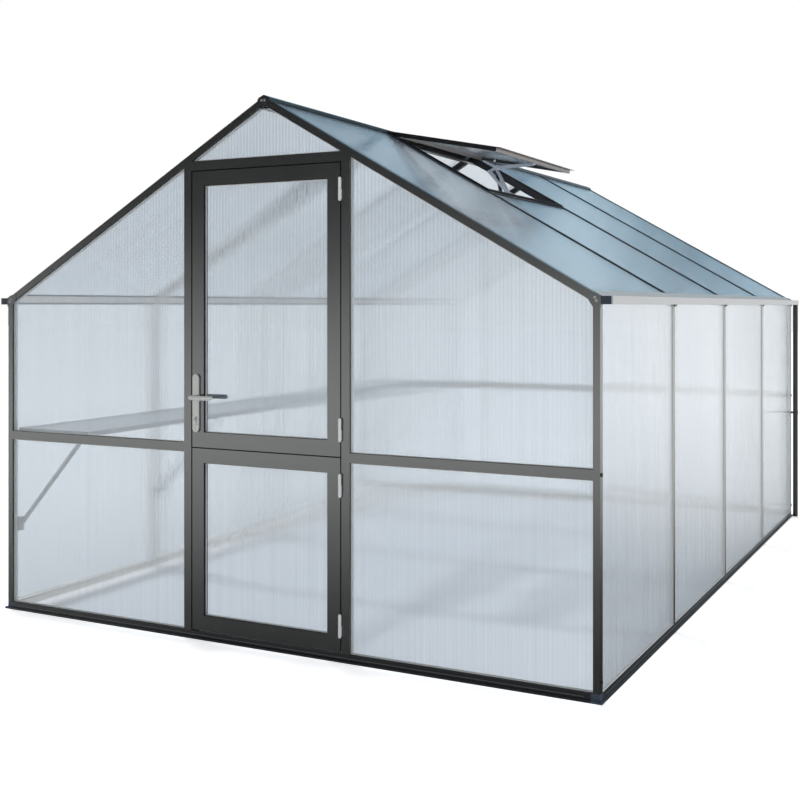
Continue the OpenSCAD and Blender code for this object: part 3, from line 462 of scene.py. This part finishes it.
def dome_bolt(bm, at, axis, size=1.0):
    """Low round head with a hexagon socket on a washer."""
    lathe(bm, [(6.4, -0.3), (6.4, 0.8), (6.0, 1.1), (5.1, 1.1), (5.1, 2.0), (4.5, 3.1), (3.3, 3.8),
               (2.4, 3.9), (2.4, 1.9), (0, 1.7)], at, axis, size, six=(7, 8))


def hex_bolt(bm, at, axis):
    """Hexagon head with a flange."""
    lathe(bm, [(8.0, -0.3), (8.0, 0.7), (7.4, 1.2), (6.6, 1.3), (6.6, 4.4), (6.0, 5.0), (0, 5.1)],
          at, axis, six=(3, 4, 5))


def screw(bm, at, axis):
    """Countersunk screw with a recess, just proud of its face."""
    lathe(bm, [(3.2, -0.3), (3.2, 0.15), (2.56, 0.45), (1.344, 0.5), (1.152, -0.6), (0, -0.8)],
          at, axis, steps=18, six=(3, 4))


# ------------------------------------------------------------ places on the house
def on_front(x, z, depth):
    return Vector((x, depth, z))


def on_back(x, z, depth):
    return Vector((x, LONG - depth, z))


def on_wall(side):
    return lambda y, z, depth: Vector((side * (WIDE - depth), y, z))


def on_roof(side):
    """Place at a distance down the slope, along the house, and a depth under the roof surface."""
    return lambda s, y, depth: Vector((side * (s * math.cos(PITCH) - depth * math.sin(PITCH)), y,
                                       RIDGE - s * math.sin(PITCH) - depth * math.cos(PITCH)))


def down_slope(x):
    """Distance down the slope of a place at x from the middle."""
    return x / math.cos(PITCH)


def bay_run(k, end):
    """Start and end of bay k between its bars; at the gables it stops at a profile of width end."""
    return (end if k == 0 else k * BAY + BAR_HALF,
            LONG - end if k == BAYS - 1 else (k + 1) * BAY - BAR_HALF)


# ------------------------------------------------------------ seals round the sheets
def mirrored(points):
    return [(-x, z) for x, z in reversed(points)]


def gable_seals():
    """Black outside the sheets, a pale bead on them, and a pale lining on the frame behind them."""
    def under(x):
        return x, roof_at(x, RAFTER_DEEP)
    low = rectangle(POST, BASE, CORNER, RAIL0)
    high = [(POST, RAIL1), (CORNER, RAIL1), under(CORNER), under(POST)]
    top = (RIDGE - RAFTER_DEEP / math.cos(PITCH) - LINTEL) / math.tan(PITCH)
    over_door = [(-top, LINTEL), (top, LINTEL), under(0)]
    mid_low = rectangle(-DOOR, BASE, DOOR, RAIL0)
    mid_high = [(-DOOR, RAIL1), (DOOR, RAIL1), under(DOOR), under(0), under(-DOOR)]
    sides = [low, high, mirrored(low), mirrored(high)]
    black = section((0.1, 4.5), (0.9, 4.5), (1.1, 8.4), (0.1, 8.4))
    bead = section((0.1, 8.6), (2.6, 8.8), (3.6, 9.4), (3.6, 9.9), (0.1, 9.9))
    lining = section((0.1, 16.2), (2.6, 16.2), (1.4, 19.0), (1.4, 33.5), (0.1, 33.5))
    for end, panels, place in (("front", sides + [over_door], on_front),
                               ("back", sides + [mid_low, mid_high], on_back)):
        for kind, profile, material, slot in (("seal", black, "rubber", "black_plastic"),
                                              ("bead", bead, "pale_seal", "bare_aluminium"),
                                              ("lining", lining, "pale_seal", "bare_aluminium")):
            bm = bmesh.new()
            for panel in panels:
                seal_loop(bm, panel, profile, place)
            piece("%s_%s" % (end, kind), bm, material, smooth=30)


def wall_seals(side, label):
    """Pale seals round the panels of a side wall, and white linings on the frame behind them."""
    outer = section((0.1, 0.4), (0.8, 0.4), (2.2, 2.6), (2.2, 3.9), (0.1, 3.9))
    lining = section((0.1, 10.2), (2.4, 10.2), (1.2, 13.0), (1.2, 33.0), (0.1, 33.0))
    for kind, profile, material in (("seal", outer, "pale_seal"), ("lining", lining, "white_lining")):
        bm = bmesh.new()
        for k in range(BAYS):
            y0, y1 = bay_run(k, CORNER_DEEP)
            seal_loop(bm, rectangle(y0, BASE, y1, WALL_TOP), profile, on_wall(side))
        piece("%s_wall_%s" % (label, kind), bm, material, smooth=30)


def roof_seals(side, label):
    """Black seals round the roof sheets; in the vent's bay they start below its sill."""
    outer = section((0.1, 0.6), (1.0, 0.6), (2.8, 2.0), (2.8, 3.0), (0.1, 3.0))
    bm = bmesh.new()
    for k in range(BAYS):
        y0, y1 = bay_run(k, RAFTER_WIDE)
        under_vent = side == 1 and k == VENT_BAY
        s0 = down_slope(edge("vent_sill" if under_vent else "ridge_beam", HIGH, X))
        s1 = down_slope(edge("roof_bars", HIGH, X))
        seal_loop(bm, [(s0, y0), (s1, y0), (s1, y1), (s0, y1)], outer, on_roof(side))
    piece("%s_roof_seal" % label, bm, "rubber", smooth=30)


# ------------------------------------------------------------ roof vent
def roof_strip(bm, xs, ys, depths):
    """Bar lying on the right slope between two distances from the middle."""
    corners = [(xs[0], depths[0]), (xs[1], depths[0]), (xs[1], depths[1]), (xs[0], depths[1])]
    rows = [[bm.verts.new(on_roof(1)(down_slope(x), y, depth)) for y in ys] for x, depth in corners]
    for row, following in zip(rows, rows[1:] + rows[:1]):
        bm.faces.new((row[0], row[1], following[1], following[0]))
    bm.faces.new([row[0] for row in rows])
    bm.faces.new([row[1] for row in rows][::-1])
    break_edges(bm, [v for row in rows for v in row], 0.2 * MM)


def vent_opening():
    """Black lining of the vent's opening, strips on its edges, and the lip that the sash closes on."""
    y0, y1 = bay_run(VENT_BAY, 0)
    ridge_side = 18.5 * MM                # just off the core of the ridge beam
    sill = edge("vent_sill", LOW, X)
    gap = 0.2 * MM                        # between pieces that meet
    bm = bmesh.new()
    s0, s1 = down_slope(ridge_side), down_slope(sill - gap)
    lining = section((0.1, 12.5), (0.9, 12.5), (0.9, 34.5), (2.2, 34.5), (2.2, 35.4), (0.1, 35.4))
    seal_loop(bm, [(s0, y0), (s1, y0), (s1, y1), (s0, y1)], lining, on_roof(1))
    piece("vent_lining", bm, "black_paint", smooth=30)

    thick = 0.8 * MM
    bm = bmesh.new()
    for y in (y0, y1 - thick):
        roof_strip(bm, (30 * MM, sill - gap), (y, y + thick), (0.4 * MM, 12.4 * MM))
    piece("vent_edge_strips", bm, "black_paint")

    lip, lip_top = 9 * MM, 85 * MM        # its width, and where its sides start below the ridge
    off = 2 * MM                          # from the opening to its sides
    proud = (-7.0 * MM, 0.2 * MM)
    bm = bmesh.new()
    for y in (y0 - off - lip, y1 + off):
        roof_strip(bm, (lip_top, sill + lip), (y, y + lip), proud)
    roof_strip(bm, (sill, sill + lip), (y0 - off + gap, y1 + off - gap), proud)
    piece("vent_lip", bm, "rubber")


def opener_bolts():
    """Pivot bolts of the vent's opener and the nut on its rod."""
    plates = edge("vent_opener", HIGH, Y) - middle("vent_opener", Y)
    inward, below = 68 * MM, 40 * MM      # main pivot, from the opener's ridge end and its top
    pivot = Vector((edge("vent_opener", LOW, X) + inward, middle("vent_opener", Y),
                    edge("vent_opener", HIGH, Z) - below))
    bm = bmesh.new()
    # offset of each bolt from the pivot in millimetres, and its size
    for x, z, size in ((0, 0, 0.75), (-36, -18, 0.55), (-64, 36, 0.55), (70, -134.2, 0.75),
                       (159, -181.9, 0.6)):
        for out in (-1, 1):
            dome_bolt(bm, pivot + Vector((x * MM, out * plates, z * MM)), (0, out, 0), size)
    lean, nut = math.radians(12), 32 * MM       # of the rod, and from the pivot up to its nut
    up = Vector((-math.sin(lean), 0, math.cos(lean)))
    lathe(bm, [(5.6, 0), (6.2, 1), (6.2, 7), (5.2, 9), (3.0, 10.4), (0, 10.8)],
          pivot + up * nut, up, six=(1, 2))
    piece("opener_bolts", bm, "bolt_metal", smooth=35)


# ------------------------------------------------------------ door
def pane_seals(leaf):
    """Glazing seals of a door leaf: black outside and inside, with a pale bead on the pane."""
    bite, groove = 8 * MM, 9 * MM         # how far the pane and the slot reach into the leaf
    pane = leaf.replace("door", "leaf_pane")
    opening = rectangle(edge(pane, LOW, X) + bite, edge(pane, LOW, Z) + groove,
                        edge(pane, HIGH, X) - bite, edge(pane, HIGH, Z) - bite)
    outer = section((0.1, 1.0), (0.9, 1.0), (1.1, 11.8), (0.1, 11.8))
    bead = section((0.1, 12.0), (3.0, 12.6), (4.4, 14.0), (4.4, 14.9), (0.1, 14.9))
    inner = section((0.1, 29.0), (1.1, 29.0), (1.6, 24.8), (3.6, 23.6), (3.6, 21.2), (0.1, 21.2))
    for kind, profile, material in (("out", outer, "rubber"), ("bead", bead, "pale_seal"),
                                    ("in", inner, "rubber")):
        bm = bmesh.new()
        seal_loop(bm, opening, profile, on_front)
        piece("%s_pane_seal_%s" % (leaf, kind), bm, material, body=leaf, smooth=30)


def door_seals():
    """Seals on the latch post, under the lintel, and on top of the lower leaf."""
    y0, y1 = 16 * MM, 28 * MM             # depth of the seals on the door's frame
    latch = -DOOR + 0.1 * MM, -DOOR + 2.6 * MM
    leaf0, leaf1 = edge("lower_leaf_frame", LOW, X), edge("lower_leaf_frame", HIGH, X)
    split = edge("lower_leaf_frame", HIGH, Z)
    head = edge("upper_leaf_frame", HIGH, Z)
    bm = bmesh.new()
    strip(bm, (latch[0], y0, BASE + 7 * MM), (latch[1], y1, head - 1 * MM))
    strip(bm, (latch[1], y0, head + 2.2 * MM), (leaf1, y1, head + 4.9 * MM))
    piece("door_frame_seal", bm, "rubber")
    bm = bmesh.new()
    strip(bm, (leaf0 + 2 * MM, 3 * MM, split + 0.1 * MM), (leaf1 - 4 * MM, 27 * MM, split + 3 * MM))
    piece("lower_leaf_seal", bm, "rubber", body="lower_door")


def handle_details():
    """Screws of the handle plates, and the plug and key way on each end of the lock."""
    x = middle("handle_plates", X)
    key_z = edge("lock_cylinder", HIGH, Z) - (edge("lock_cylinder", HIGH, X) - x)
    screws = 11.5 * MM                    # from the ends of the plates
    bm = bmesh.new()
    for z in (edge("handle_plates", LOW, Z) + screws, edge("handle_plates", HIGH, Z) - screws):
        screw(bm, (x, edge("handle_plates", LOW, Y), z), (0, -1, 0))
        screw(bm, (x, edge("handle_plates", HIGH, Y), z), (0, 1, 0))
    piece("handle_screws", bm, "bolt_metal", body="upper_door", smooth=35)

    front, back = edge("lock_cylinder", LOW, Y), edge("lock_cylinder", HIGH, Y)
    bm = bmesh.new()
    for y, out in ((front, -1), (back, 1)):
        lathe(bm, [(6.9, -0.2), (6.9, 0.25), (6.6, 0.45), (0, 0.5)], (x, y, key_z), (0, out, 0), steps=28)
    piece("lock_plugs", bm, "handle_metal", body="upper_door", smooth=35)

    # the key way is a thin dark strip on the plug, not a cut slot: painted shade of the slot
    half_w, half_h, thick = 0.8 * MM, 4.5 * MM, 0.3 * MM
    on_plug = 0.4 * MM                    # from the lock's end, just under the plug's face
    bm = bmesh.new()
    for y in (front - on_plug - thick, back + on_plug):
        strip(bm, (x - half_w, y, key_z - half_h), (x + half_w, y + thick, key_z + half_h), 0.1 * MM)
    piece("key_slot_shade_strips", bm, "rubber", body="upper_door")


# ------------------------------------------------------------ frame details
def plate_bolts():
    """Bolts of the gusset plates at the eaves and the ridge of both gables."""
    eave_bolts = ((19.5, 4.0), (14.5, 15.5))    # in from the side and down, in millimetres
    ridge_z = round(RIDGE - 16.2 * MM, 3)
    size = 0.85
    bm = bmesh.new()
    for y, out in ((edge("gusset_plates", LOW, Y), -1), (edge("gusset_plates", HIGH, Y), 1)):
        for away, down in eave_bolts:
            for side in (-1, 1):
                dome_bolt(bm, (side * (WIDE - away * MM), y, EAVE - down * MM), (0, out, 0), size)
        for x in (-8.5 * MM, 5.5 * MM):
            dome_bolt(bm, (x, y, ridge_z), (0, out, 0), size)
    piece("plate_bolts", bm, "bolt_metal", smooth=35)


def post_bolts():
    """Bolts through the corner posts, at the cross rail and at the foot."""
    inward, foot = 14 * MM, 75 * MM
    bm = bmesh.new()
    for side in (-1, 1):
        for y in (inward, LONG - inward):
            for z in ((RAIL0 + RAIL1) / 2, foot):
                hex_bolt(bm, (side * WIDE, y, z), (side, 0, 0))
    piece("post_bolts", bm, "dark_bolt", smooth=35)


def base_highlight_beads():
    """Rolled bead along the foot of the base, lighter than the black base: a painted highlight line."""
    corner = 60 * MM                      # left free for the corner connectors
    z0, z1 = 16.5 * MM, 19.0 * MM
    near, far = 0.2 * MM, 1.6 * MM        # off the face of the base
    bm = bmesh.new()
    for x0, x1 in ((-WIDE - far, -WIDE - near), (WIDE + near, WIDE + far)):
        strip(bm, (x0, corner, z0), (x1, LONG - corner, z1), 0.5 * MM)
    for y0, y1 in ((-far, -near), (LONG + near, LONG + far)):
        strip(bm, (corner - WIDE, y0, z0), (WIDE - corner, y1, z1), 0.5 * MM)
    piece("base_highlight_beads", bm, "bead_highlight_metal", smooth=35)


# ------------------------------------------------------------ floor, light, camera
def studio_floor():
    """Pale floor that keeps the object's shadow; what the camera sees of it is lifted toward white."""
    seen, through = 0.52, 0.06            # its own glow as seen straight, and through the sheets
    size = 60
    mesh = bpy.data.meshes.new("floor")
    mesh.from_pydata([(-size, -size, 0), (size, -size, 0), (size, size, 0), (-size, size, 0)], [],
                     [(0, 1, 2, 3)])
    floor = link("floor", mesh)
    material, tree = new_material("floor_white")
    ray = tree.node("ShaderNodeLightPath").outputs
    matt = tree.node("ShaderNodeBsdfDiffuse", {"Color": (0.9, 0.9, 0.9, 1)})
    glow = tree.math("MULTIPLY", ray["Is Camera Ray"], seen)
    glow = tree.math("MULTIPLY_ADD", ray["Is Transmission Ray"], through, glow)
    light = tree.node("ShaderNodeEmission", {"Color": (1, 1, 1, 1), "Strength": glow})
    tree.output(tree.node("ShaderNodeAddShader", {0: matt, 1: light}))
    mesh.materials.append(material)
    floor.visible_glossy = False


def studio_world():
    """White to the camera, soft light on the object, and a room and sky in its reflections."""
    world = bpy.data.worlds.new("studio")
    bpy.context.scene.world = world
    world.use_nodes = True
    tree = Tree(world.node_tree)
    way = tree.node("ShaderNodeTexCoord").outputs["Generated"]
    parts = tree.split(way)
    height = tree.span(parts[Z], -1.0, 1.0)               # 0 straight down, 1 straight up
    # in front of the house: dark room with a bright band just under the horizon
    front = tree.ramp(height, [(0.354, 0.03), (0.371, 0.09), (0.396, 0.38), (0.413, 0.72),
                               (0.432, 1.15), (0.456, 1.28), (0.483, 0.98), (0.50, 0.70),
                               (0.52, 0.25), (0.54, 0.07), (0.60, 0.04)])
    # behind it: white horizon over darker ground, cloudy sky
    veil = tree.node("ShaderNodeMapping", {"Vector": way, "Location": (2.3, 1.7, 1.1),
                                           "Scale": (3.2, 2.2, 7.0)})
    sky = tree.ramp(tree.noise(veil, 1.8, 5.0, 0.62),
                    [(0.39, (0.01, 0.04, 0.07)), (0.49, (0.09, 0.17, 0.23)), (0.60, (0.34, 0.48, 0.56))])
    ground = tree.ramp(height, [(0.36, 0.02), (0.39, 0.10), (0.425, 0.68), (0.46, 1.05)])
    behind = tree.mix(tree.span(height, 0.515, 0.56), ground, sky)
    room = tree.mix(tree.span(parts[Y], -0.25, 0.15), front, behind)

    reflected = tree.node("ShaderNodeBackground", {"Color": room, "Strength": 1.4})
    white = tree.node("ShaderNodeBackground", {"Color": (1, 1, 1, 1), "Strength": 1.0})
    soft = tree.node("ShaderNodeBackground", {"Color": (0.95, 0.975, 1.0, 1), "Strength": 0.5})
    # only what the camera sees, straight or through the sheets, is white: light on the object stays plain
    ray = tree.node("ShaderNodeLightPath").outputs
    seen = tree.math("MAXIMUM", ray["Is Camera Ray"], ray["Is Transmission Ray"])
    seen = tree.math("SUBTRACT", seen, ray["Diffuse Depth"], clamp=True)
    unseen = tree.node("ShaderNodeMixShader", {0: ray["Is Glossy Ray"], 1: soft, 2: reflected})
    tree.output(tree.node("ShaderNodeMixShader", {0: seen, 1: unseen, 2: white}),
                "ShaderNodeOutputWorld")


def lamp(name, kind, at, to, energy):
    """Lamp that doesn't show in reflections."""
    data = bpy.data.lights.new(name, kind)
    data.energy = energy
    ob = link(name, data)
    ob.location = at
    ob.rotation_euler = (Vector(to) - Vector(at)).to_track_quat("-Z", "Y").to_euler()
    ob.visible_glossy = False
    return data


def lamps():
    key = lamp("key", "SUN", (-1.05, 2.9, 9.0), (0, LONG / 2, 0), 0.56 * math.pi)
    key.angle = math.radians(5)
    side = lamp("side", "AREA", (9.0, 0.0, 3.5), (1.4, 2.0, 1.0), 160)
    side.shape = "SQUARE"
    side.size = 4.0


def camera():
    """The photo's camera: level, turned 27.4 degrees, with the frame shifted down."""
    data = bpy.data.cameras.new("camera")
    data.sensor_width = 36.0
    data.lens = 52.50
    data.shift_y = -0.1181
    ob = link("camera", data)
    ob.location = (2.717, -4.0189, 1.4204)
    ob.rotation_euler = (math.pi / 2, 0, math.radians(27.392))
    bpy.context.scene.camera = ob


# ------------------------------------------------------------ the whole scene
coat_nodes()
gable_seals()
for side, label in ((1, "right"), (-1, "left")):
    wall_seals(side, label)
    roof_seals(side, label)
vent_opening()
for leaf in ("upper_door", "lower_door"):
    pane_seals(leaf)
door_seals()
plate_bolts()
post_bolts()
opener_bolts()
base_highlight_beads()
handle_details()
# light reaches the ground through the shelf as through the sheets, so that the ground stays even
nodes["shelf_trays"].visible_shadow = False
studio_floor()
studio_world()
lamps()
camera()
bpy.context.scene.view_settings.view_transform = "Standard"
